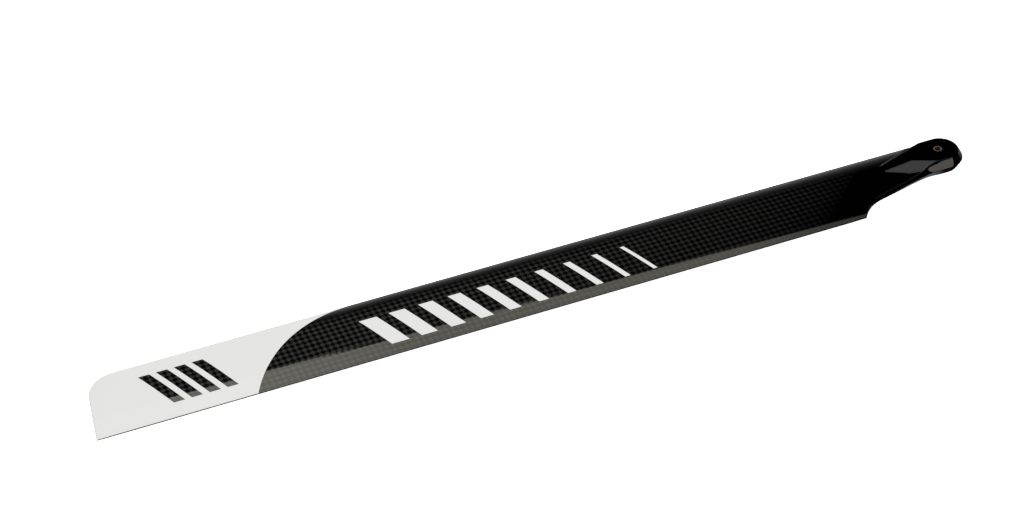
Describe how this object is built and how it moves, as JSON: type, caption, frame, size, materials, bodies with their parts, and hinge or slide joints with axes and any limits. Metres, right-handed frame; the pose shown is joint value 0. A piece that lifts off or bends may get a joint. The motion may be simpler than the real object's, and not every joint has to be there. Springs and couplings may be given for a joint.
{
  "type": "helicopter rotor blade",
  "caption": "Carbon main rotor blade for a model helicopter: symmetric untwisted section, raked tip with a rounded leading corner, root cut and a thick round root bored for its bolt.",
  "frame": {"origin": "centre of the bolt hole at mid thickness", "axes": "+X out to the tip, +Y from the leading edge to the trailing edge, +Z along the bolt"},
  "size_m": [0.6173, 0.0545, 0.012],
  "materials": {
    "coated_carbon": "plain weave carbon under a gloss clear coat, gloss black root and white painted tip",
    "bronze": "turned bronze, dulled"
  },
  "bodies": {
    "root": {"blade": "coated_carbon", "bolt_bush": "bronze"}
  },
  "joints": []
}
